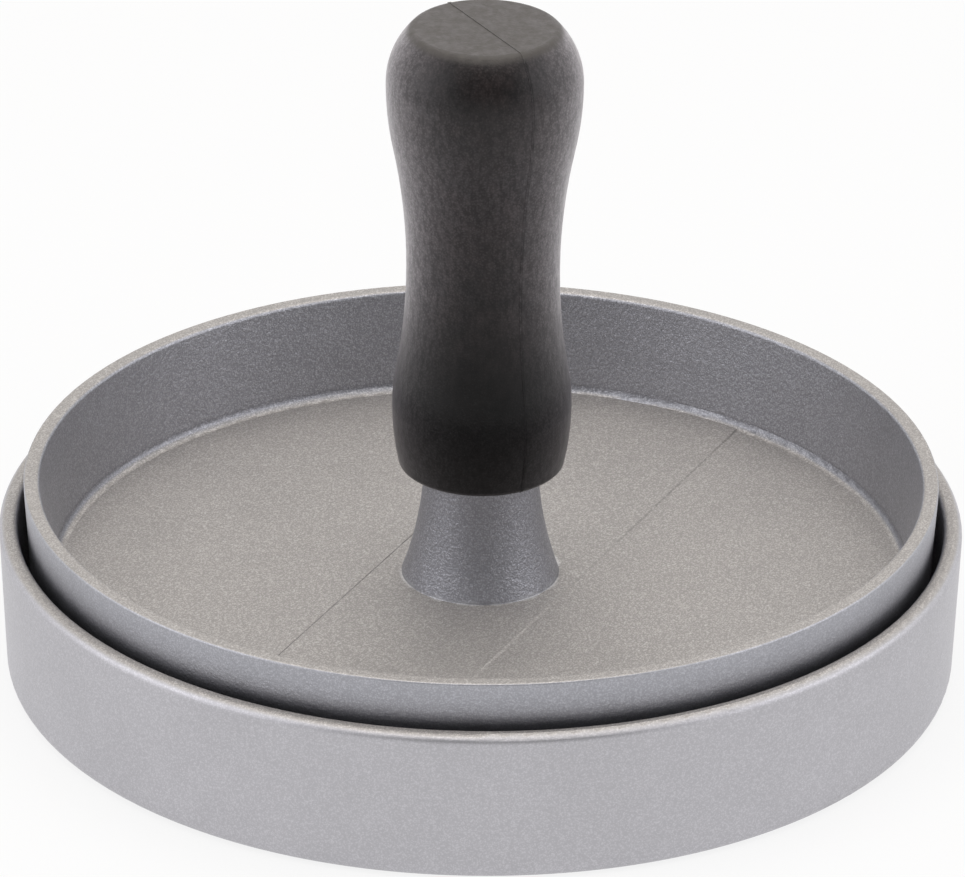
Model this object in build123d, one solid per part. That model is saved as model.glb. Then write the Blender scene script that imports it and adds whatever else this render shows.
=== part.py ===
from build123d import *
import os
from math import cos, pi, radians, sin, sqrt, tan

# A hand press for burger patties, sizes in millimetres and angles in degrees.
# Z points up along the press's axis. The origin is the centre of the dish's underside.

# Mould dish, the lower half
dish_radius = 65.0           # outside, at the lip
dish_height = 21.4
dish_draft = 2.5             # lean of both faces of the wall
dish_lip_width = 2.5
dish_lip_outer_round = 1.2
dish_lip_inner_round = 0.8
dish_bottom_round = 2.0
dish_floor_thickness = 3.0
dish_crease_round = 1.5
dish_foot_height = 1.0
dish_foot_width = 7.4

# Ribs across the dish's floor and under the press plate, which rest on each other
rib_height = 2.95
rib_width = 2.2              # at the root
rib_draft = 8.0
rib_spacing = 9.0
rib_margin = 5.5             # left bare between the ends of the ribs and the wall's root
dish_rib_angle = 0.0
plate_rib_angle = 90.0

# Press plate, the upper half: a round pan with a flared boss at its centre
plate_clearance = 1.25       # to the dish, all round, at the height of the dish's lip
plate_thickness = 3.0
plate_depth = 14.5           # of the pan, from its floor to its lip
plate_lip_width = 2.1
plate_outer_draft = 3.5
plate_inner_draft = 6.7
plate_lip_outer_round = 0.3
plate_lip_inner_round = 0.6
plate_crease_round = 1.2
plate_bottom_round = 2.5

# A low band across the pan's floor, left by an insert in the casting die
band_width = 26.0            # halfway up its sloped sides
band_height = 0.14
band_slope = 0.35            # width of each sloped side
band_angle = 64.5

# Boss
boss_height = 15.6
boss_foot_radius = 10.7
boss_top_radius = 7.7
boss_flare_radius = 52.0
boss_foot_round = 0.4
boss_top_round = 0.4

# Gasket between the boss and the handle
gasket_thickness = 0.8
gasket_setback = 0.3         # of its edge from the boss's edge

# Handle: a swell at its foot, a waist and a head, joined by arcs
handle_length = 63.5
swell_height = 8.9           # above the handle's lower end, as is the waist's height
swell_radius = 12.05
swell_lower_curve = 40.0
swell_upper_curve = 26.7
waist_height = 28.8
waist_radius = 10.25
head_depth = 7.8             # of the head's widest place, below the handle's top
head_radius = 13.1
head_lower_curve = 44.4
crown_curve = 10.7
handle_bottom_round = 0.8
handle_top_round = 1.0

# Parting line of the handle's mould
seam_width = 0.3
seam_proud = 0.08
seam_angle = 119.5

# Screw, its seat under the press plate, and its washers
thread_radius = 3.0
thread_clearance = 0.05
hole_clearance = 0.3
screw_grip = 30.0            # length under the head
screw_tip_chamfer = 0.8
screw_head_radius = 6.0
screw_head_height = 4.4
screw_head_round = 2.6
screw_head_recess = 1.2      # from the press face up to the head
recess_arm_width = 1.3
recess_radius = 3.2
recess_depth = 2.6
recess_tip_radius = 0.8
flat_washer_thickness = 1.6
flat_washer_clearance = 0.4  # round the thread
spring_washer_thickness = 1.6
spring_washer_clearance = 0.1
spring_washer_radius = 5.8
spring_washer_gap = 1.2
spring_washer_slant = 20.0
washer_radius = 6.0
washer_chamfer = 0.2
counterbore_clearance = 0.6  # round the head and the washers

# Threaded insert in the handle
insert_radius = 5.0
insert_length = 19.0
insert_blind_end = 1.5
insert_knurl_teeth = 24
insert_knurl_depth = 0.3
insert_groove_width = 3.0
insert_groove_depth = 0.8

# Heights at rest, from the ground up
dish_floor_top = dish_foot_height + dish_floor_thickness
rib_contact = dish_floor_top + rib_height
press_face = rib_contact + rib_height
plate_floor = press_face + plate_thickness
plate_lip = plate_floor + plate_depth
boss_top = plate_floor + boss_height
handle_bottom = boss_top + gasket_thickness
handle_top = handle_bottom + handle_length
screw_head_bottom = press_face + screw_head_recess
screw_head_top = screw_head_bottom + screw_head_height
flat_washer_bottom = screw_head_top + spring_washer_thickness
counterbore_top = flat_washer_bottom + flat_washer_thickness

# Radii that follow from the sizes above
dish_lip_inner_radius = dish_radius - dish_lip_width
dish_foot_radius = dish_radius - dish_height * tan(radians(dish_draft))
dish_root_radius = dish_lip_inner_radius - (dish_height - dish_floor_top) * tan(radians(dish_draft))
plate_wall_radius = dish_lip_inner_radius - plate_clearance
plate_lip_radius = plate_wall_radius + (plate_lip - dish_height) * tan(radians(plate_outer_draft))
plate_face_radius = plate_wall_radius - (dish_height - press_face) * tan(radians(plate_outer_draft))
plate_lip_inner_radius = plate_lip_radius - plate_lip_width
plate_floor_radius = plate_lip_inner_radius - plate_depth * tan(radians(plate_inner_draft))
rib_field_radius = min(dish_root_radius, plate_face_radius) - rib_margin
screw_hole_radius = thread_radius + hole_clearance
counterbore_radius = max(screw_head_radius, washer_radius) + counterbore_clearance
gasket_radius = boss_top_radius - gasket_setback


def arc_about(centre, start, end):
    """The short arc from start to end about a centre, in (radius, height)."""
    first, last = start - centre, end - centre
    middle = centre + (first + last).normalized() * first.length
    return ThreePointArc(start, middle, end)


def section(outline, rounds=()):
    """The face inside a closed outline of (radius, height), with rounded corners."""
    face = make_face(outline).face()
    for corner, radius in rounds:
        face = face.fillet_2d(radius, [face.vertices().sort_by_distance(corner)[0]])
    return Plane.XZ * Sketch([face])


def turned(outline, rounds=()):
    """The solid that a section sweeps about Z."""
    return revolve(section(outline, rounds), Axis.Z)


def disc(radius, bottom, top):
    """A solid cylinder on the axis between two heights."""
    return Pos(0, 0, (bottom + top) / 2) * Cylinder(radius, top - bottom)


def ring(inner_radius, outer_radius, bottom, thickness):
    """A flat ring on the axis."""
    top = bottom + thickness
    return disc(outer_radius, bottom, top) - disc(inner_radius, bottom, top)


def rib_field(root, tip, angle, keep_out_radius=0):
    """Parallel ribs from one height to another, over a round field, clear of a round pad."""
    draft = rib_height * tan(radians(rib_draft))
    across = rib_width / 2
    section = Polyline(
        (-across, root), (across, root), (across - draft, tip), (draft - across, tip), close=True
    )
    rib = extrude(Plane.XZ * make_face(section), rib_field_radius, both=True)
    count = int(rib_field_radius / rib_spacing + 0.5)
    places = [(number + 0.5) * rib_spacing for number in range(-count, count)]
    low, high = min(root, tip), max(root, tip)
    ribs = Part() + [Pos(place, 0, 0) * rib for place in places]
    ribs &= disc(rib_field_radius, low, high)
    if keep_out_radius:
        ribs -= disc(keep_out_radius, low, high)
    return Rot(0, 0, angle) * ribs


def mould_dish():
    """A cast dish with a foot ring, a leaning wall and ribs across its floor."""
    foot_inner = (dish_foot_radius - dish_foot_width, dish_foot_height)
    foot = (dish_foot_radius, 0)
    lip_outer, lip_inner = (dish_radius, dish_height), (dish_lip_inner_radius, dish_height)
    crease = (dish_root_radius, dish_floor_top)
    outline = Polyline(
        (0, dish_foot_height), foot_inner, (foot_inner[0], 0), foot,
        lip_outer, lip_inner, crease, (0, dish_floor_top), close=True,
    )
    rounds = [
        (foot, dish_bottom_round),
        (lip_outer, dish_lip_outer_round),
        (lip_inner, dish_lip_inner_round),
        (crease, dish_crease_round),
    ]
    return turned(outline, rounds) + rib_field(dish_floor_top, rib_contact, dish_rib_angle)


def boss_flare():
    """The boss's concave side, as an arc from its foot to its top."""
    foot = Vector(boss_foot_radius, plate_floor)
    top = Vector(boss_top_radius, boss_top)
    chord = top - foot
    outward = Vector(chord.Y, -chord.X).normalized()
    reach = sqrt(boss_flare_radius**2 - (chord.length / 2) ** 2)
    return arc_about((foot + top) / 2 + outward * reach, foot, top)


def floor_band():
    """The low band on the pan's floor, rooted in it, from the boss out to the wall's root."""
    root, top = plate_floor - plate_thickness / 2, plate_floor + band_height
    reach = plate_floor_radius
    foot, crest = (band_width + band_slope) / 2, (band_width - band_slope) / 2
    section = Polyline(
        (-foot, root), (foot, root), (foot, plate_floor), (crest, top),
        (-crest, top), (-foot, plate_floor), close=True,
    )
    band = Rot(0, 0, band_angle - 90) * extrude(Plane.XZ * make_face(section), reach, both=True)
    return band & ring(boss_top_radius, reach, root, plate_thickness)


def press_plate():
    """A pan with a flared boss on its floor, a counterbore below and ribs on its press face."""
    face_edge = (plate_face_radius, press_face)
    lip_outer, lip_inner = (plate_lip_radius, plate_lip), (plate_lip_inner_radius, plate_lip)
    crease, boss_foot = (plate_floor_radius, plate_floor), (boss_foot_radius, plate_floor)
    boss_edge = (boss_top_radius, boss_top)
    pan = Polyline(
        (counterbore_radius, press_face), face_edge, lip_outer, lip_inner, crease, boss_foot
    )
    bore = Polyline(
        boss_edge, (screw_hole_radius, boss_top), (screw_hole_radius, counterbore_top),
        (counterbore_radius, counterbore_top), (counterbore_radius, press_face),
    )
    rounds = [
        (face_edge, plate_bottom_round),
        (lip_outer, plate_lip_outer_round),
        (lip_inner, plate_lip_inner_round),
        (crease, plate_crease_round),
        (boss_foot, boss_foot_round),
        (boss_edge, boss_top_round),
    ]
    plate = turned(pan + boss_flare() + bore, rounds) + floor_band()
    pad_radius = counterbore_radius + rib_width
    pad = ring(counterbore_radius, pad_radius, rib_contact, rib_height)
    return plate + rib_field(press_face, rib_contact, plate_rib_angle, pad_radius) + pad


def hollow_side(wide, waist, curve):
    """A rounded arc and a hollow one, from a wide place to the waist with no corner between."""
    rise, step = wide.Y - waist.Y, wide.X - waist.X
    hollow = (rise**2 + step**2) / (2 * step) - curve
    centre = wide - Vector(curve, 0)
    hollow_centre = waist + Vector(hollow, 0)
    meeting = centre + (hollow_centre - centre).normalized() * curve
    return arc_about(centre, wide, meeting) + arc_about(hollow_centre, meeting, waist)


def handle_outline(proud):
    """The handle's half section and its rounded corners, standing proud of its skin."""
    top = handle_top + proud
    swell = Vector(swell_radius + proud, handle_bottom + swell_height)
    waist = Vector(waist_radius + proud, handle_bottom + waist_height)
    head = Vector(head_radius + proud, handle_top - head_depth)
    foot_centre = swell - Vector(swell_lower_curve + proud, 0)
    foot_reach = sqrt((swell_lower_curve + proud) ** 2 - swell_height**2)
    foot = Vector(foot_centre.X + foot_reach, handle_bottom)
    crown_centre = head - Vector(crown_curve + proud, 0)
    crown_reach = sqrt((crown_curve + proud) ** 2 - (top - head.Y) ** 2)
    crown = Vector(crown_centre.X + crown_reach, top)
    outline = (
        Polyline(crown, (0, top), (0, handle_bottom), foot)
        + arc_about(foot_centre, foot, swell)
        + hollow_side(swell, waist, swell_upper_curve + proud)
        + hollow_side(head, waist, head_lower_curve + proud)
        + arc_about(crown_centre, head, crown)
    )
    return outline, [(foot, handle_bottom_round), (crown, handle_top_round)]


def handle_seam():
    """The thin ridge that the mould's halves leave round the handle, in a plane through the axis."""
    half = extrude(section(*handle_outline(seam_proud)), seam_width / 2, both=True)
    return Rot(0, 0, seam_angle) * (half + Rot(0, 0, 180) * half)


def insert_body():
    """The insert without its bore: a knurled band at each end of a narrower core."""
    teeth = []
    for number in range(2 * insert_knurl_teeth):
        turn = pi * number / insert_knurl_teeth
        radius = insert_radius - insert_knurl_depth * (number % 2)
        teeth.append((radius * cos(turn), radius * sin(turn)))
    band_length = (insert_length - insert_groove_width) / 2
    band = extrude(make_face(Polyline(*teeth, close=True)), band_length)
    core_outline = RegularPolygon(insert_radius - insert_groove_depth, insert_knurl_teeth)
    core = extrude(core_outline, insert_length)
    return Pos(0, 0, handle_bottom) * (core + band + Pos(0, 0, insert_length - band_length) * band)


def handle():
    """The moulded handle with its parting line, shaped round the insert."""
    return turned(*handle_outline(0)) + handle_seam() - insert_body()


def handle_insert():
    """The threaded insert, open at its lower end."""
    bore_top = handle_bottom + insert_length - insert_blind_end
    return insert_body() - disc(thread_radius, handle_bottom, bore_top)


def handle_screw():
    """A pan head screw with a cross recess in its head, which faces down."""
    tip = screw_head_top + screw_grip
    shank_radius = thread_radius - thread_clearance
    head_edge = (screw_head_radius, screw_head_bottom)
    outline = Polyline(
        (0, screw_head_bottom), head_edge, (screw_head_radius, screw_head_top),
        (shank_radius, screw_head_top), (shank_radius, tip - screw_tip_chamfer),
        (shank_radius - screw_tip_chamfer, tip), (0, tip), close=True,
    )
    arm = Box(2 * recess_radius, recess_arm_width, 2 * recess_depth)
    cross = Pos(0, 0, screw_head_bottom) * (arm + Rot(0, 0, 90) * arm)
    taper = turned(Polyline(
        (0, screw_head_bottom), (recess_radius, screw_head_bottom),
        (recess_tip_radius, screw_head_bottom + recess_depth),
        (0, screw_head_bottom + recess_depth), close=True,
    ))
    return turned(outline, [(head_edge, screw_head_round)]) - (cross & taper)


def flat_washer():
    """A plain washer with broken edges, against the top of the counterbore."""
    inner_radius = thread_radius + flat_washer_clearance
    whole = ring(inner_radius, washer_radius, flat_washer_bottom, flat_washer_thickness)
    circles = whole.edges().filter_by(GeomType.CIRCLE)
    return chamfer(circles.group_by(SortBy.RADIUS)[-1], washer_chamfer)


def spring_washer():
    """A split washer, pressed flat between the screw's head and the plain washer."""
    inner_radius = thread_radius + spring_washer_clearance
    whole = ring(inner_radius, spring_washer_radius, screw_head_top, spring_washer_thickness)
    split = Box(
        spring_washer_radius, spring_washer_gap, 4 * spring_washer_thickness,
        align=(Align.MIN, Align.CENTER, Align.CENTER),
    )
    middle = screw_head_top + spring_washer_thickness / 2
    return whole - Pos(0, 0, middle) * Rot(spring_washer_slant, 0, 0) * split


def handle_gasket():
    """A thin ring that seals the joint between the boss and the handle."""
    return ring(screw_hole_radius, gasket_radius, boss_top, gasket_thickness)


pieces = {
    "mould_dish": mould_dish(),
    "press_plate": press_plate(),
    "handle": handle(),
    "handle_insert": handle_insert(),
    "handle_screw": handle_screw(),
    "flat_washer": flat_washer(),
    "spring_washer": spring_washer(),
    "handle_gasket": handle_gasket(),
}

os.makedirs("parts", exist_ok=True)
for name, piece in pieces.items():
    export_step(piece, f"parts/{name}.step")
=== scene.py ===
import math

import bmesh
import bpy
from mathutils import Euler, Matrix, Vector


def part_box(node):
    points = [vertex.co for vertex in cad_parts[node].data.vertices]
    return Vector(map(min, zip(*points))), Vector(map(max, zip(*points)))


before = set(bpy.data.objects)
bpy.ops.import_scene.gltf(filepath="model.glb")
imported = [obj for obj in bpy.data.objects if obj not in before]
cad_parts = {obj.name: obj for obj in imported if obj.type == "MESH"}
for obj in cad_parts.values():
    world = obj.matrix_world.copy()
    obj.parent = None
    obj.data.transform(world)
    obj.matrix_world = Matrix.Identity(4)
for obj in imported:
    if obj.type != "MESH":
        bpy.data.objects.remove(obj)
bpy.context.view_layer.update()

# The photograph's view, in pixels of its own frame, metres and radians
PHOTO_WIDTH = 965
FOCAL_PIXELS = 9000
SENSOR_WIDTH = 36
CAMERA_PLACE = (0.00013, -1.08957, 0.55895)
CAMERA_PITCH = math.radians(25.777)
CAMERA_ROLL = math.radians(0.54)
CAMERA_REACH = (0.01, 20)

# Places on the press, in metres and radians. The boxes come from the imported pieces
DISH_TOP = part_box("mould_dish")[1][2]
DISH_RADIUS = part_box("mould_dish")[1][0]
PLATE_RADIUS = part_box("press_plate")[1][0]
HANDLE_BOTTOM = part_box("handle")[0][2]
HANDLE_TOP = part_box("handle")[1][2]
PAN_DEPTH = 0.0145
BOSS_HEIGHT = 0.0156
BOSS_RADIUS = 0.0107
GASKET_THICKNESS = 0.0008
PAN_FLOOR = HANDLE_BOTTOM - GASKET_THICKNESS - BOSS_HEIGHT
PAN_TOP = PAN_FLOOR + PAN_DEPTH
BAND_TURN = math.radians(64.5)
BAND_EDGE = 0.013
SEAM_TURN = math.radians(119.5)

# Round edges: the lips are rubbed bright, and the boss's foot gets a painted highlight line
DISH_LIP = {"radius": DISH_RADIUS - 0.0004, "height": DISH_TOP - 0.0004, "reach": 0.0008}
PLATE_LIP = {"radius": PLATE_RADIUS - 0.0001, "height": PAN_TOP - 0.0001, "reach": 0.0004}
BOSS_FOOT_HIGHLIGHT = {"radius": BOSS_RADIUS, "height": PAN_FLOOR + 0.0003, "reach": 0.0006}

# Zones with a look of their own, in metres: where each one's edge starts and ends
BOSS_ROUND = (0.0002, 0.0012)
BOSS_RISE = (0.0002, 0.0006)
FLOOR_UPPER = (0.0002, 0.0004)
FLOOR_LOWER = (-0.001, -0.0005)
BAND_LINE = (0.00004, 0.00018)
BAND_BEHIND = (-0.005, 0.02)
CREASE_RADII = (0.039, 0.0455)
CREASE_BOTTOM = (0.00015, 0.0003)
CREASE_TOP = (0.001, 0.0016)
GAP_TOP = (-0.0005, 0.0019)
HANDLE_UPPER = (0.012, 0.032)
HANDLE_CROWN = (-0.0012, -0.0003)
SEAM_LINE = (0.00009, 0.00024)

# Sizes of the marks in the finishes, in metres
FINE_GRAIN = 0.00025
BROAD_GRAIN = 0.00062
FLAKE = 0.00025
CAST_CLOUD = 0.014
SKIN_GRAIN = 0.00035
SKIN_STREAK = 0.0007
SKIN_CLOUD = 0.007
SKIN_SCRATCH = {"length": 0.005, "width": 0.00012}
CROWN_BLOTCH = 0.0012
SEAM_BREAK = 0.0016
# SHADE_BLOTCH breaks up the painted shade along the band's edges
SHADE_BLOTCH = 0.003
METAL_GRAIN = 0.0002
METAL_CLOUD = 0.004
METAL_SCRATCH = {"length": 0.003, "width": 0.00005}
RUBBER_GRAIN = 0.0002
RUBBER_CLOUD = 0.003
TABLE_CLOUD = 0.4

# Raw values of noise, cells and slopes between which each effect comes in
GRANULE_EDGE = (0.1, 0.75)
GRAIN_SPREAD = (0.3, 0.75)
FLAKE_EDGE = (0.2, 0.6)
GLINT_CHANCE = (0.86, 0.97)
CLOUD_SPREAD = (0.36, 0.64)
BREAK_SPREAD = (0.35, 0.65)
HAIRLINE_EDGE = (0.68, 0.76)
OUTWARD_SLOPE = (0.1, 0.7)
UPWARD_SLOPE = (0.6, 0.95)
TONE_SPREAD = (0.1, 0.9)
STREAK_SPREAD = (0.3, 0.7)
SHADE_SPREAD = (0.3, 0.5)

# The castings' colours
DISH_WALL = (0.505, 0.497, 0.524, 1)
PLATE_WALL = (0.44, 0.442, 0.478, 1)
# Faces turned up are warmer and darker; the warmth is a painted tint of the warm lamp overhead
UPWARD_PAINTED_WARMTH = (0.445, 0.423, 0.407, 1)
BOSS_SKIN = (0.47, 0.47, 0.505, 1)
RUBBED_METAL = (0.66, 0.655, 0.65, 1)
# Near white for painted glints on the flakes and for the painted highlight line at the boss's foot
PAINTED_GLINT = (0.85, 0.85, 0.87, 1)

# The castings' grain and flakes, on their rough sides first and on their smooth ones second
DARKEST_GRAIN = (0.78, 0.91)
LIGHTEST_GRAIN = (1.14, 1.08)
PAINTED_SPARKLE = (0.25, 0.1)
GRAIN_DEPTH = (0.00008, 0.00003)

# How much of each thing the castings have
DISH_SMOOTHNESS = 1.0
PLATE_SMOOTHNESS = 0.65
BOSS_SKIN_SHARE = 0.55
FINE_GRAIN_SHARE = 0.75
CLOUD_TONES = (0.975, 1.025)
LIP_RUBBING = 0.05
# How strong the painted highlight line at the boss's foot is
FOOT_HIGHLIGHT = 0.4
FINE_HEIGHT, BROAD_HEIGHT, FLAKE_HEIGHT = 0.6, 0.8, 0.15
GRAIN_ROUGHNESS = (0.47, 0.39)
CLOUD_ROUGHENING = 0.03
UPWARD_ROUGHENING = 0.17

# Painted shade on the plate: its share along the band's right edge, and the share of colour that it
# leaves
RIGHT_EDGE_SHADE = 0.45
BAND_SHADE_LEAVES = 0.6
CREASE_SHADE_LEAVES = 0.82
GAP_SHADE_LEAVES = 0.66

# The handle's colours
SKIN_DARK = (0.0112, 0.0094, 0.0098, 1)
SKIN_PALE = (0.0225, 0.0174, 0.0175, 1)
# The grey of a painted sheen, mixed in at glancing angles
PAINTED_SHEEN_GREY = (0.475, 0.443, 0.465, 1)
# Grey on the crown: rubbing, and painted light from the lamp above
CROWN_RUB_AND_LIGHT_GREY = (0.09, 0.082, 0.075, 1)
SCRATCH_GREY = (0.12, 0.12, 0.12, 1)
SEAM_ON_BODY = (0.001, 0.001, 0.001, 1)
SEAM_ON_CROWN = (0.1, 0.096, 0.09, 1)

# How much of each thing the handle has
# Low down: the share of colour left by painted shade, and of the painted sheen
LOWER_PAINTED_SHADE = 0.12
LOWER_PAINTED_SHEEN = 0.3
SHEEN_FALLOFF = 1.6
STREAK_STRETCH = 0.4
STREAK_SHARE = 0.5
SKIN_TONES = (0.65, 1.35)
LEAST_CROWN = 0.7
SCRATCH_SHARE = 0.06
SEAM_SHARE = 0.5
SKIN_ROUGHNESS = (0.34, 0.28)
GRAIN_ROUGHENING = 0.1
CROWN_ROUGHENING = 0.12
SKIN_SPECULAR = 0.22
SKIN_DEPTH = 0.00003

# Bare metals: the finish's name, its colour bright and dull, and its least roughness
BARE_METALS = {
    "handle_insert": ("brass", (0.72, 0.55, 0.27, 1), (0.5, 0.36, 0.17, 1), 0.28),
    "handle_screw": ("screw steel", (0.6, 0.6, 0.61, 1), (0.42, 0.42, 0.43, 1), 0.25),
    "flat_washer": ("washer steel", (0.58, 0.58, 0.59, 1), (0.4, 0.4, 0.41, 1), 0.32),
    "spring_washer": ("spring steel", (0.4, 0.4, 0.41, 1), (0.26, 0.26, 0.27, 1), 0.38),
}
DULL_PATCHES = 0.6
DULL_SCRATCHES = 0.3
PATCH_ROUGHENING = 0.12
SCRATCH_ROUGHENING = 0.1
METAL_DEPTH = 0.00001

# The gasket
RUBBER_BLACK = (0.02, 0.02, 0.02, 1)
RUBBER_BLOOM = (0.045, 0.045, 0.043, 1)
RUBBER_ROUGHNESS = (0.75, 0.88)
RUBBER_DEPTH = 0.00002

# The strength of a bump
FIRM = 0.8
SOFT = 0.5

# The surroundings, in metres; brightness is a share of white, and directions run from -1 to 1
WHITE = (1, 1, 1, 1)
ROOM_FRONT = 0.18
ROOM_LOW = 0.8
ROOM_FILL = 0.42
LOW_BAND = (0.03, 0.2)
TABLE_TONES = ((0.88, 0.88, 0.88, 1), (0.9, 0.9, 0.9, 1))
TABLE_ROUGHNESS = 0.8
TABLE_RADIUS = 3.0
TABLE_CORNERS = 96
TABLE_GAP = 0.00005
TABLE_GLOW = 0.82
TABLE_FAR = (0.35, 0.8)

# The softboxes: place and size in metres, watts and colour, and the place that they point at
SOFTBOXES = {
    "left softbox": ((-0.9, -0.35, 0.45), (1.1, 0.8), 3, (0.97, 0.965, 1)),
    "right softbox": ((0.95, -0.2, 0.45), (1.1, 0.8), 2.6, (0.97, 0.965, 1)),
    "top softbox": ((0, 0, 1), (0.9, 1.3), 6.5, (1, 0.97, 0.93)),
}
SOFTBOX_AIM = (0, 0, 0.03)


class Wiring:
    """Adds nodes to one tree. A socket or a plain value can stand for any input."""

    def __init__(self, tree):
        self.tree = tree

    def feed(self, socket, value):
        if isinstance(value, bpy.types.NodeSocket):
            self.tree.links.new(value, socket)
        else:
            socket.default_value = value

    def node(self, kind, feeds=(), **settings):
        node = self.tree.nodes.new(kind)
        for name, value in settings.items():
            setattr(node, name, value)
        for key, value in dict(feeds).items():
            self.feed(node.inputs[key], value)
        return node

    def existing(self, kind):
        return next(node for node in self.tree.nodes if node.type == kind)

    def math(self, operation, first, second=0.0):
        return self.node("ShaderNodeMath", {0: first, 1: second}, operation=operation).outputs[0]

    def add(self, first, second):
        return self.math("ADD", first, second)

    def minus(self, first, second):
        return self.math("SUBTRACT", first, second)

    def times(self, first, second):
        return self.math("MULTIPLY", first, second)

    def over(self, first, second):
        return self.math("DIVIDE", first, second)

    def larger(self, first, second):
        return self.math("MAXIMUM", first, second)

    def unsigned(self, value):
        return self.math("ABSOLUTE", value)

    def blend(self, first, second, share):
        """Both values added up, the second by its share and the first by the rest."""
        return self.add(self.times(first, 1 - share), self.times(second, share))

    def vector_math(self, operation, *vectors):
        feeds = dict(enumerate(vectors))
        return self.node("ShaderNodeVectorMath", feeds, operation=operation).outputs

    def length(self, vector):
        return self.vector_math("LENGTH", vector)["Value"]

    def dot(self, first, second):
        return self.vector_math("DOT_PRODUCT", first, second)["Value"]

    def split(self, vector):
        return self.node("ShaderNodeSeparateXYZ", {0: vector}).outputs

    def join(self, x=0.0, y=0.0, z=0.0):
        return self.node("ShaderNodeCombineXYZ", {0: x, 1: y, 2: z}).outputs[0]

    def remap(self, value, limits, results, kind="SMOOTHSTEP"):
        """From the first result at the first limit to the second one at the second limit."""
        feeds = dict(enumerate((value, *limits, *results)))
        return self.node("ShaderNodeMapRange", feeds, interpolation_type=kind).outputs[0]

    def rising(self, value, limits):
        return self.remap(value, limits, (0.0, 1.0))

    def falling(self, value, limits):
        return self.remap(value, limits, (1.0, 0.0))

    def eased(self, share, results):
        return self.remap(share, (0.0, 1.0), results)

    def even(self, share, results):
        return self.remap(share, (0.0, 1.0), results, "LINEAR")

    def mix(self, factor, first, second, blend="MIX"):
        feeds = {0: factor, 6: first, 7: second}
        return self.node("ShaderNodeMix", feeds, data_type="RGBA", blend_type=blend).outputs[2]

    def per(self, size):
        return self.over(1.0, size) if isinstance(size, bpy.types.NodeSocket) else 1 / size

    def noise(self, vector, size, detail=2.0, rough=0.5):
        feeds = {"Vector": vector, "Scale": self.per(size), "Detail": detail, "Roughness": rough}
        return self.node("ShaderNodeTexNoise", feeds).outputs[0]

    def cells(self, vector, size):
        feeds = {"Vector": vector, "Scale": self.per(size)}
        return self.node("ShaderNodeTexVoronoi", feeds).outputs


NUMBER, VECTOR = "NodeSocketFloat", "NodeSocketVector"


def effect(name, inputs, outputs, wire_up):
    """A shader node group with named inputs and outputs, filled in by a function."""
    tree = bpy.data.node_groups.new(name, "ShaderNodeTree")
    tree.interface.new_socket("Place", in_out="INPUT", socket_type=VECTOR)
    for label, value in inputs.items():
        tree.interface.new_socket(label, in_out="INPUT", socket_type=NUMBER).default_value = value
    for label in outputs:
        tree.interface.new_socket(label, in_out="OUTPUT", socket_type=NUMBER)
    wiring = Wiring(tree)
    given = wiring.node("NodeGroupInput").outputs
    results = wire_up(wiring, given)
    taken = wiring.node("NodeGroupOutput").inputs
    for label in outputs:
        wiring.feed(taken[label], results[label])
    return tree


def wire_cast_grain(w, given):
    """The pebbled skin of a sprayed casting: round granules over softer lumps."""
    bend_ratio, lump_ratio, lump_share = 2.0, 1.6, 0.6
    place, size = given["Place"], given["Grain Size"]
    bend = w.times(w.noise(place, w.times(size, bend_ratio), detail=1.0), size)
    bent = w.vector_math("ADD", place, w.join(bend, bend))[0]
    granules = w.falling(w.cells(bent, size)["Distance"], GRANULE_EDGE)
    lumps = w.noise(place, w.times(size, lump_ratio), detail=3.0, rough=0.6)
    height = w.blend(granules, lumps, lump_share)
    return {"Height": height, "Shade": w.rising(height, GRAIN_SPREAD)}


def wire_metal_flakes(w, given):
    """Flakes in the coat: each cell has its own brightness, and a few of them are marked for a
    painted glint.
    """
    cells = w.cells(given["Place"], given["Flake Size"])
    chance = w.node("ShaderNodeSeparateColor", {0: cells["Color"]}).outputs
    middle = w.falling(cells["Distance"], FLAKE_EDGE)
    return {"Shade": chance[1], "Glint": w.times(w.rising(chance[0], GLINT_CHANCE), middle)}


def wire_cloudiness(w, given):
    """Slow, uneven changes of tone across a surface."""
    fine_ratio, fine_share = 0.22, 0.35
    place, size = given["Place"], given["Patch Size"]
    broad = w.noise(place, size, detail=3.0, rough=0.55)
    fine = w.noise(place, w.times(size, fine_ratio))
    return {"Cloud": w.rising(w.blend(broad, fine, fine_share), CLOUD_SPREAD)}


def wire_ring_wear_and_highlight(w, given):
    """A band along one round edge, given by its radius and height, with uneven ends: rubbing on the
    lips, and a painted highlight line at the boss's foot.
    """
    reach_shares = (0.3, 1.2)
    x, y, z = w.split(given["Place"])
    across = w.minus(w.length(w.join(x, y)), given["Radius"])
    above = w.minus(z, given["Height"])
    broken = w.noise(given["Place"], given["Break Size"], detail=3.0, rough=0.6)
    reach = w.times(given["Reach"], w.remap(broken, BREAK_SPREAD, reach_shares))
    return {"Wear And Highlight": w.falling(w.length(w.join(across, above)), (0.0, reach))}


def wire_hairlines(w, given):
    """Fine scratches that run three ways, each with its turn and its share."""
    ways = ((0.3, 1.0), (1.4, 0.8), (2.5, 0.6))
    bend_ratio, bend_turn = 1.5, 0.8
    place, length, width = given["Place"], given["Length"], given["Width"]
    bend = w.times(w.noise(place, w.times(length, bend_ratio), detail=1.0), bend_turn)
    marks = 0.0
    for turn, share in ways:
        feeds = {"Vector": place, "Angle": w.add(bend, turn)}
        turned = w.node("ShaderNodeVectorRotate", feeds, rotation_type="Z_AXIS").outputs[0]
        x, y, z = w.split(turned)
        stretched = w.join(w.over(x, length), w.over(y, width), w.over(z, width))
        line = w.remap(w.noise(stretched, 1.0, detail=0.0), HAIRLINE_EDGE, (0.0, share))
        marks = w.larger(marks, line)
    return {"Marks": marks}


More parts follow.
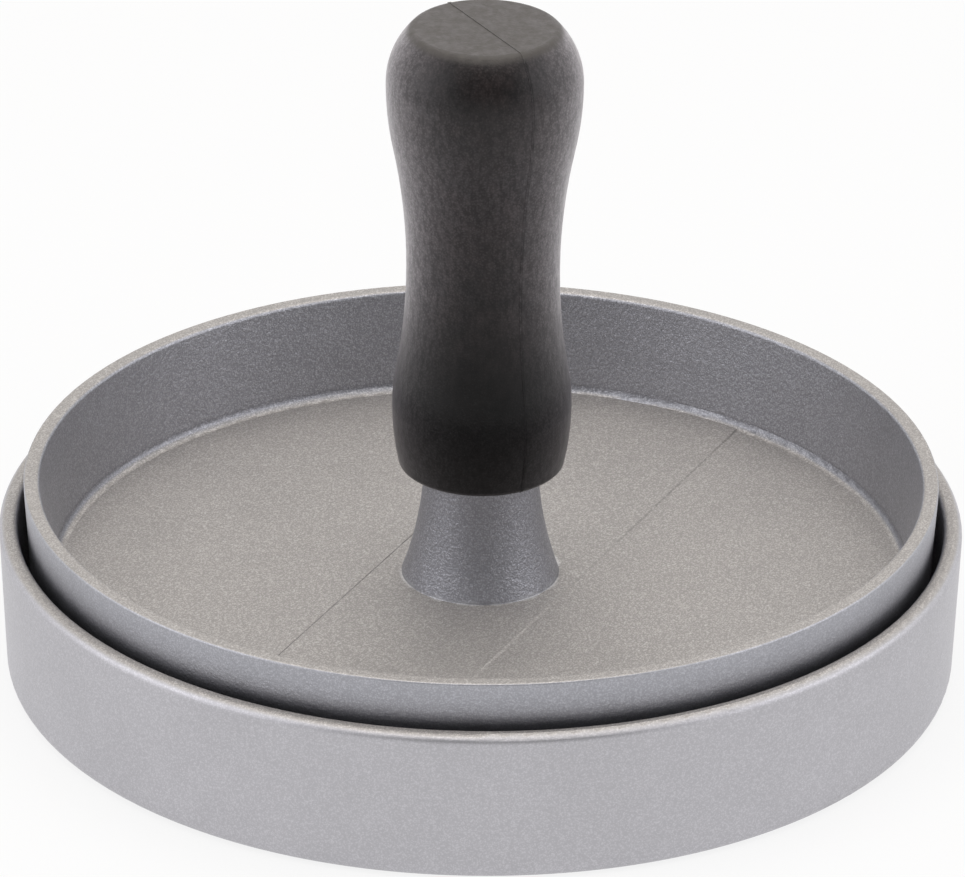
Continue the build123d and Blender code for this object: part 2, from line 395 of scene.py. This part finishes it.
cast_grain = effect("cast grain", {"Grain Size": 0.0004}, ("Height", "Shade"), wire_cast_grain)
metal_flakes = effect("metal flakes", {"Flake Size": 0.0003}, ("Shade", "Glint"), wire_metal_flakes)
cloudiness = effect("cloudiness", {"Patch Size": 0.02}, ("Cloud",), wire_cloudiness)
ring_wear_and_highlight = effect(
    "ring wear and highlight",
    {"Radius": 0.06, "Height": 0.02, "Reach": 0.001, "Break Size": 0.003},
    ("Wear And Highlight",), wire_ring_wear_and_highlight,
)
hairlines = effect("hairlines", {"Length": 0.01, "Width": 0.0002}, ("Marks",), wire_hairlines)


class Finish(Wiring):
    """One material: its tree, the place on the piece, and the Principled BSDF that it ends in."""

    def __init__(self, name):
        self.material = bpy.data.materials.new(name)
        self.material.use_nodes = True
        super().__init__(self.material.node_tree)
        self.shader = self.existing("BSDF_PRINCIPLED")
        coordinates = self.node("ShaderNodeTexCoord").outputs
        self.place = coordinates["Object"]
        self.facing = coordinates["Normal"]
        self.x, self.y, self.z = self.split(self.place)
        self.radial = self.join(self.x, self.y)
        self.radius = self.length(self.radial)

    def use(self, group, **feeds):
        node = self.node("ShaderNodeGroup", node_tree=group)
        self.feed(node.inputs["Place"], self.place)
        for label, value in feeds.items():
            self.feed(node.inputs[label.replace("_", " ").title()], value)
        return node.outputs

    def above(self, height, limits):
        """0 below a zone that starts over the given height, and 1 in it."""
        return self.rising(self.z, [height + limit for limit in limits])

    def below(self, height, limits):
        """1 in a zone that ends over the given height, and 0 above it."""
        return self.falling(self.z, [height + limit for limit in limits])

    def outward(self):
        """1 where the surface faces away from the press's axis, 0 where it faces in or up."""
        way = self.over(self.dot(self.facing, self.radial), self.radius)
        return self.rising(way, OUTWARD_SLOPE)

    def shaded(self, colour, factor):
        return self.mix(1.0, colour, self.join(factor, factor, factor), "MULTIPLY")

    # Darkens the colour where a mask of painted shade lies, down to the share that it leaves
    def painted_darker(self, colour, painted_shade, leaves):
        return self.shaded(colour, self.even(painted_shade, (1.0, leaves)))

    def bump(self, height, depth, strength):
        feeds = {"Strength": strength, "Distance": depth, "Height": height}
        return self.node("ShaderNodeBump", feeds).outputs[0]

    def set(self, **values):
        for label, value in values.items():
            self.feed(self.shader.inputs[label.replace("_", " ").title()], value)
        return self.material


def boss_zone(f):
    """1 on the boss's flare, 0 on the pan round it."""
    near = f.falling(f.radius, [BOSS_RADIUS + limit for limit in BOSS_ROUND])
    return f.times(near, f.above(PAN_FLOOR, BOSS_RISE))


def band_edge_shade(f):
    """Painted shade along the left edge of the pan floor's band, and behind along the right one,
    broken into blotches.
    """
    across = f.dot(f.place, (math.sin(BAND_TURN), -math.cos(BAND_TURN), 0))
    off_edge = f.unsigned(f.minus(f.unsigned(across), BAND_EDGE))
    behind = f.remap(f.y, BAND_BEHIND, (0.0, RIGHT_EDGE_SHADE))
    share = f.remap(across, (-BAND_EDGE, BAND_EDGE), (1.0, behind))
    on_floor = f.times(f.below(PAN_FLOOR, FLOOR_UPPER), f.above(PAN_FLOOR, FLOOR_LOWER))
    blotches = f.rising(f.noise(f.place, SHADE_BLOTCH), SHADE_SPREAD)
    return f.times(f.times(f.times(blotches, share), on_floor), f.falling(off_edge, BAND_LINE))


def crease_shade(f):
    """Painted shade in the crease between the pan's floor and its wall."""
    height = f.times(f.above(PAN_FLOOR, CREASE_BOTTOM), f.below(PAN_FLOOR, CREASE_TOP))
    return f.times(f.rising(f.radius, CREASE_RADII), height)


def gap_shade(f, outer):
    """Painted shade on the plate's outer wall, low down, where it goes into the dish."""
    return f.times(outer, f.below(DISH_TOP, GAP_TOP))


def plate_painted_light(f, colour, outer):
    """The plate's painted light: a painted highlight line at the boss's foot, and painted shade in
    three places.
    """
    # A painted highlight line along the boss's foot
    foot = f.use(ring_wear_and_highlight, **BOSS_FOOT_HIGHLIGHT)["Wear And Highlight"]
    colour = f.mix(f.times(foot, FOOT_HIGHLIGHT), colour, PAINTED_GLINT)
    # Painted shade along the edges of the pan floor's band
    colour = f.painted_darker(colour, band_edge_shade(f), BAND_SHADE_LEAVES)
    # Painted shade in the crease at the foot of the pan's wall
    colour = f.painted_darker(colour, crease_shade(f), CREASE_SHADE_LEAVES)
    # Painted shade low on the outer wall, next to the dish's lip
    return f.painted_darker(colour, gap_shade(f, outer), GAP_SHADE_LEAVES)


def cast_metal(name, wall, lip, smoothness, is_plate):
    """Aluminium casting with a sprayed metallic coat, smoother on the sides that face out."""
    f = Finish(name)
    on_boss = boss_zone(f) if is_plate else 0.0
    facing_up = f.rising(f.split(f.facing)[2], UPWARD_SLOPE)
    outer = f.times(f.outward(), f.minus(1.0, on_boss))
    smooth = f.times(outer, smoothness)
    fine = f.use(cast_grain, grain_size=FINE_GRAIN)
    broad = f.use(cast_grain, grain_size=BROAD_GRAIN)
    flakes = f.use(metal_flakes, flake_size=FLAKE)
    cloud = f.use(cloudiness, patch_size=CAST_CLOUD)["Cloud"]
    grain = f.blend(broad["Shade"], fine["Shade"], FINE_GRAIN_SHARE)
    grain_tones = f.even(smooth, DARKEST_GRAIN), f.even(smooth, LIGHTEST_GRAIN)
    painted_sparkle = f.times(flakes["Glint"], f.even(smooth, PAINTED_SPARKLE))
    rubbed = f.times(f.use(ring_wear_and_highlight, **lip)["Wear And Highlight"], LIP_RUBBING)

    # Faces turned up take a warmer, darker colour; the warmth is painted light from the warm lamp
    # overhead
    colour = f.mix(facing_up, wall, UPWARD_PAINTED_WARMTH)
    colour = f.mix(f.times(on_boss, BOSS_SKIN_SHARE), colour, BOSS_SKIN)
    colour = f.shaded(colour, f.remap(grain, TONE_SPREAD, grain_tones, "LINEAR"))
    colour = f.shaded(colour, f.even(cloud, CLOUD_TONES))
    # Painted glints: a few flakes are painted near white, standing in for flakes that catch the
    # light
    colour = f.mix(painted_sparkle, colour, PAINTED_GLINT)
    colour = f.mix(rubbed, colour, RUBBED_METAL)
    if is_plate:
        colour = plate_painted_light(f, colour, outer)

    height = f.add(f.times(fine["Height"], FINE_HEIGHT), f.times(broad["Height"], BROAD_HEIGHT))
    height = f.add(height, f.times(flakes["Shade"], FLAKE_HEIGHT))
    normal = f.bump(height, f.even(smooth, GRAIN_DEPTH), FIRM)
    rough = f.even(grain, GRAIN_ROUGHNESS)
    rough = f.add(rough, f.times(cloud, CLOUD_ROUGHENING))
    rough = f.add(rough, f.times(facing_up, UPWARD_ROUGHENING))
    return f.set(base_color=colour, metallic=1.0, roughness=rough, normal=normal)


def parting_line(f):
    """1 on the line where the two halves of the handle's mould met, broken in places."""
    across = f.dot(f.place, f.join(math.sin(SEAM_TURN), -math.cos(SEAM_TURN)))
    broken = f.rising(f.noise(f.place, SEAM_BREAK), BREAK_SPREAD)
    return f.times(f.falling(f.unsigned(across), SEAM_LINE), broken)


def black_plastic():
    """Moulded thermoset with a mottled satin skin, with painted shade low down, a painted sheen at
    glancing angles, and a crown painted grey for rubbing and for the light from above.
    """
    f = Finish("black satin plastic")
    skin = f.use(cast_grain, grain_size=SKIN_GRAIN)
    cloud = f.use(cloudiness, patch_size=SKIN_CLOUD)["Cloud"]
    scratches = f.times(f.use(hairlines, **SKIN_SCRATCH)["Marks"], SCRATCH_SHARE)
    upper = f.above(HANDLE_BOTTOM, HANDLE_UPPER)
    crown = f.above(HANDLE_TOP, HANDLE_CROWN)
    # A painted sheen: grey mixed into the colour at glancing angles, weaker low down
    glancing = f.math("POWER", f.node("ShaderNodeLayerWeight").outputs["Facing"], SHEEN_FALLOFF)
    painted_sheen = f.times(glancing, f.even(upper, (LOWER_PAINTED_SHEEN, 1.0)))
    long_way = f.join(f.x, f.y, f.times(f.z, STREAK_STRETCH))
    streaks = f.rising(f.noise(long_way, SKIN_STREAK, detail=3.0, rough=0.6), STREAK_SPREAD)
    mottle = f.blend(skin["Shade"], streaks, STREAK_SHARE)
    blotches = f.noise(f.place, CROWN_BLOTCH, detail=4.0, rough=0.6)
    crown_rub_and_light = f.times(crown, f.remap(blotches, STREAK_SPREAD, (LEAST_CROWN, 1.0)))

    colour = f.mix(cloud, SKIN_DARK, SKIN_PALE)
    # Painted shade: the lower part of the handle is darkened
    colour = f.shaded(colour, f.even(upper, (LOWER_PAINTED_SHADE, 1.0)))
    colour = f.mix(painted_sheen, colour, PAINTED_SHEEN_GREY)
    colour = f.shaded(colour, f.remap(mottle, TONE_SPREAD, SKIN_TONES, "LINEAR"))
    # The crown is painted grey for its rubbing and for the light falling on it from above
    colour = f.mix(crown_rub_and_light, colour, CROWN_RUB_AND_LIGHT_GREY)
    colour = f.mix(scratches, colour, SCRATCH_GREY)
    seam_tone = f.mix(crown, SEAM_ON_BODY, SEAM_ON_CROWN)
    colour = f.mix(f.times(parting_line(f), SEAM_SHARE), colour, seam_tone)

    rough = f.add(f.eased(cloud, SKIN_ROUGHNESS), f.times(skin["Shade"], GRAIN_ROUGHENING))
    rough = f.add(rough, f.times(crown, CROWN_ROUGHENING))
    normal = f.bump(skin["Height"], SKIN_DEPTH, FIRM)
    f.shader.inputs["Specular IOR Level"].default_value = SKIN_SPECULAR
    return f.set(base_color=colour, roughness=rough, normal=normal)


def bare_metal(name, bright, dull, least_rough):
    """Turned or stamped metal with a fine grain, scratches and dull patches."""
    f = Finish(name)
    grain = f.use(cast_grain, grain_size=METAL_GRAIN)
    cloud = f.use(cloudiness, patch_size=METAL_CLOUD)["Cloud"]
    scratches = f.use(hairlines, **METAL_SCRATCH)["Marks"]
    colour = f.mix(f.times(cloud, DULL_PATCHES), bright, dull)
    colour = f.mix(f.times(scratches, DULL_SCRATCHES), colour, dull)
    rough = f.eased(cloud, (least_rough, least_rough + PATCH_ROUGHENING))
    rough = f.add(rough, f.times(scratches, SCRATCH_ROUGHENING))
    normal = f.bump(grain["Height"], METAL_DEPTH, SOFT)
    return f.set(base_color=colour, metallic=1.0, roughness=rough, normal=normal)


def gasket_rubber():
    """Dull black rubber with a fine bloom."""
    f = Finish("gasket rubber")
    grain = f.use(cast_grain, grain_size=RUBBER_GRAIN)
    cloud = f.use(cloudiness, patch_size=RUBBER_CLOUD)["Cloud"]
    colour = f.mix(cloud, RUBBER_BLACK, RUBBER_BLOOM)
    rough = f.eased(grain["Shade"], RUBBER_ROUGHNESS)
    normal = f.bump(grain["Height"], RUBBER_DEPTH, SOFT)
    return f.set(base_color=colour, roughness=rough, normal=normal)


finishes = {
    "mould_dish": cast_metal("cast metal, dish", DISH_WALL, DISH_LIP, DISH_SMOOTHNESS, False),
    "press_plate": cast_metal("cast metal, plate", PLATE_WALL, PLATE_LIP, PLATE_SMOOTHNESS, True),
    "handle": black_plastic(),
    "handle_gasket": gasket_rubber(),
}
for piece, values in BARE_METALS.items():
    finishes[piece] = bare_metal(*values)
for piece, finish in finishes.items():
    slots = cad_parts[piece].data.materials
    slots.clear()
    slots.append(finish)


def add(name, data):
    thing = bpy.data.objects.new(name, data)
    bpy.context.scene.collection.objects.link(thing)
    return thing


def photo_camera():
    data = bpy.data.cameras.new("photo camera")
    data.sensor_width = SENSOR_WIDTH
    data.lens = FOCAL_PIXELS * SENSOR_WIDTH / PHOTO_WIDTH
    data.clip_start, data.clip_end = CAMERA_REACH
    camera = add("photo camera", data)
    camera.location = CAMERA_PLACE
    level = Euler((math.pi / 2 - CAMERA_PITCH, 0, 0)).to_matrix()
    camera.rotation_euler = (level @ Matrix.Rotation(CAMERA_ROLL, 3, "Z")).to_euler()
    bpy.context.scene.camera = camera


def softbox(name, place, size, power, colour):
    """A rectangular lamp, pointed at the press."""
    data = bpy.data.lights.new(name, "AREA")
    data.shape = "RECTANGLE"
    data.size, data.size_y = size
    data.energy = power
    data.color = colour
    lamp = add(name, data)
    lamp.location = place
    way = Vector(SOFTBOX_AIM) - Vector(place)
    lamp.rotation_euler = way.to_track_quat("-Z", "Y").to_euler()


def seen_directly(w):
    """1 for rays from the camera, from a glossy surface or through glass, and 0 for the rest."""
    path = w.node("ShaderNodeLightPath").outputs
    seen = path["Is Camera Ray"]
    for ray in ("Is Glossy Ray", "Is Transmission Ray"):
        seen = w.larger(seen, path[ray])
    return seen, path["Is Camera Ray"]


def pale_room():
    """White where the camera sees it. For reflections the front, above the table, is dimmer."""
    world = bpy.data.worlds.new("pale room")
    bpy.context.scene.world = world
    world.use_nodes = True
    w = Wiring(world.node_tree)
    back = w.existing("BACKGROUND")
    seen, by_camera = seen_directly(w)
    way = w.split(w.node("ShaderNodeTexCoord").outputs["Generated"])
    room = w.remap(way[1], (-1.0, 0.0), (ROOM_FRONT, 1.0))
    low = w.remap(way[2], LOW_BAND, (ROOM_LOW, 0.0))
    reflected = w.larger(w.larger(room, low), by_camera)
    strength = w.add(w.times(seen, reflected), w.times(w.minus(1.0, seen), ROOM_FILL))
    w.feed(back.inputs["Color"], WHITE)
    w.feed(back.inputs["Strength"], strength)


def table_white():
    """Matt white that keeps a shadow. Far from the press the camera sees it as plain white."""
    material = bpy.data.materials.new("table white")
    material.use_nodes = True
    w = Wiring(material.node_tree)
    shader, out = w.existing("BSDF_PRINCIPLED"), w.existing("OUTPUT_MATERIAL")
    place = w.node("ShaderNodeTexCoord").outputs["Object"]
    cloud = w.noise(place, TABLE_CLOUD, detail=3.0)
    w.feed(shader.inputs["Base Color"], w.mix(cloud, *TABLE_TONES))
    w.feed(shader.inputs["Roughness"], TABLE_ROUGHNESS)
    glow = w.node("ShaderNodeEmission", {"Color": WHITE, "Strength": 1.0})
    seen, by_camera = seen_directly(w)
    far = w.times(by_camera, w.rising(w.length(place), TABLE_FAR))
    share = w.larger(w.times(seen, TABLE_GLOW), far)
    both = w.node("ShaderNodeMixShader", {0: share, 1: shader.outputs[0], 2: glow.outputs[0]})
    w.feed(out.inputs["Surface"], both.outputs[0])
    return material


def pale_table():
    """A plain white disc under the press, which keeps the press's shadow."""
    mesh = bpy.data.meshes.new("table")
    disc = bmesh.new()
    bmesh.ops.create_circle(disc, cap_ends=True, segments=TABLE_CORNERS, radius=TABLE_RADIUS)
    disc.to_mesh(mesh)
    disc.free()
    mesh.materials.append(table_white())
    table = add("table", mesh)
    table.location.z = -TABLE_GAP


photo_camera()
pale_room()
pale_table()
for name, values in SOFTBOXES.items():
    softbox(name, *values)

bpy.context.scene.view_settings.view_transform = "Standard"
